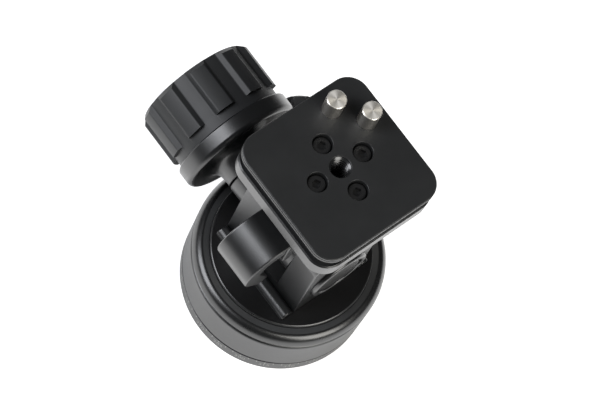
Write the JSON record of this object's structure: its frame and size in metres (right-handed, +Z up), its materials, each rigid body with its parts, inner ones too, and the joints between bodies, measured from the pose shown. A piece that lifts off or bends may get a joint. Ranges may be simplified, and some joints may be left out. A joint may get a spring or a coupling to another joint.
{
  "type": "monopod head",
  "caption": "Monopod head: a turning base drum with an angle scale, a tilting square camera platform, a large ribbed clamping knob and a small pan lock knob.",
  "frame": {"origin": "centre of the underside of the base, on the panning axis", "axes": "+Z up along the panning axis; X along the tilt axis, with the big clamping knob on the -X side; the platform tips down towards -Y"},
  "size_m": [0.085, 0.0729, 0.1031],
  "materials": {
    "black_anodised": "black anodised over a fine bead blast, edges turned bright",
    "knob_aluminium": "turned and satin black anodised",
    "knob_plastic": "moulded, fine satin",
    "zinc_steel": "zinc plated",
    "stainless_pin": "turned bright",
    "black_screw": "black oxide",
    "bronze": "sintered, oiled",
    "acetal": "smooth"
  },
  "bodies": {
    "base": {"base_plate": "black_anodised", "base_thread_insert": "zinc_steel", "pan_bearing_ring": "acetal", "pan_upper_washer": "acetal", "pan_disc_spring": "zinc_steel", "pan_retaining_nut": "zinc_steel"},
    "turntable": {"drum_body": "black_anodised", "drum_cap_ring": "black_anodised", "turntable_disc": "black_anodised", "disc_screw_1": "black_screw", "disc_screw_2": "black_screw", "disc_screw_3": "black_screw", "pedestal": "black_anodised", "pedestal_screw_1": "black_screw", "pedestal_screw_2": "black_screw", "pedestal_screw_3": "black_screw", "pedestal_screw_4": "black_screw", "tilt_shaft": "zinc_steel", "tilt_end_cap": "black_anodised"},
    "pan_brake": {"pan_brake_shoe": "acetal"},
    "pan_lock": {"pan_lock_stud": "zinc_steel", "pan_lock_knob": "knob_plastic"},
    "tilt_head": {"tilt_bracket": "black_anodised", "platform_plate": "black_anodised", "platform_screw_1": "black_screw", "platform_screw_2": "black_screw", "platform_screw_3": "black_screw", "platform_screw_4": "black_screw", "index_pin_1": "stainless_pin", "index_pin_2": "stainless_pin", "tilt_bush": "bronze", "friction_washer_left": "acetal", "friction_washer_right": "acetal"},
    "tilt_clamp": {"tilt_piston": "zinc_steel", "tilt_thrust_washer": "bronze"},
    "tilt_knob": {"tilt_knob_core": "knob_aluminium", "tilt_knob_grip": "knob_plastic", "tilt_knob_nut": "zinc_steel", "tilt_knob_cap": "knob_plastic"}
  },
  "joints": [
    {"name": "pan", "type": "hinge", "parent": "base", "child": "turntable", "pos_m": [0, 0, 0], "axis": [0, 0, 1], "continuous": true},
    {"name": "tilt", "type": "hinge", "parent": "turntable", "child": "tilt_head", "pos_m": [0, 0, 0.045], "axis": [1, 0, 0], "range_deg": [-90, 50]},
    {"name": "tilt_clamp_travel", "type": "slide", "parent": "turntable", "child": "tilt_clamp", "axis": [-1, 0, 0], "range_m": [0, 0.00126]},
    {"name": "tilt_knob_turn", "type": "hinge", "parent": "tilt_clamp", "child": "tilt_knob", "pos_m": [-0.04, 0, 0.045], "axis": [-1, 0, 0], "range_deg": [0, 360]},
    {"name": "pan_brake_travel", "type": "slide", "parent": "turntable", "child": "pan_brake", "axis": [-0.7071, 0.7071, 0], "range_m": [0, 0.00101]},
    {"name": "pan_lock_turn", "type": "hinge", "parent": "pan_brake", "child": "pan_lock", "pos_m": [-0.02828, 0.02828, 0.0146], "axis": [-0.7071, 0.7071, 0], "range_deg": [0, 360]}
  ],
  "couplings": [
    {"joint": "tilt_clamp_travel", "follows": "tilt_knob_turn", "m_per_rad": 0.00019894},
    {"joint": "pan_brake_travel", "follows": "pan_lock_turn", "m_per_rad": 0.00015915}
  ]
}
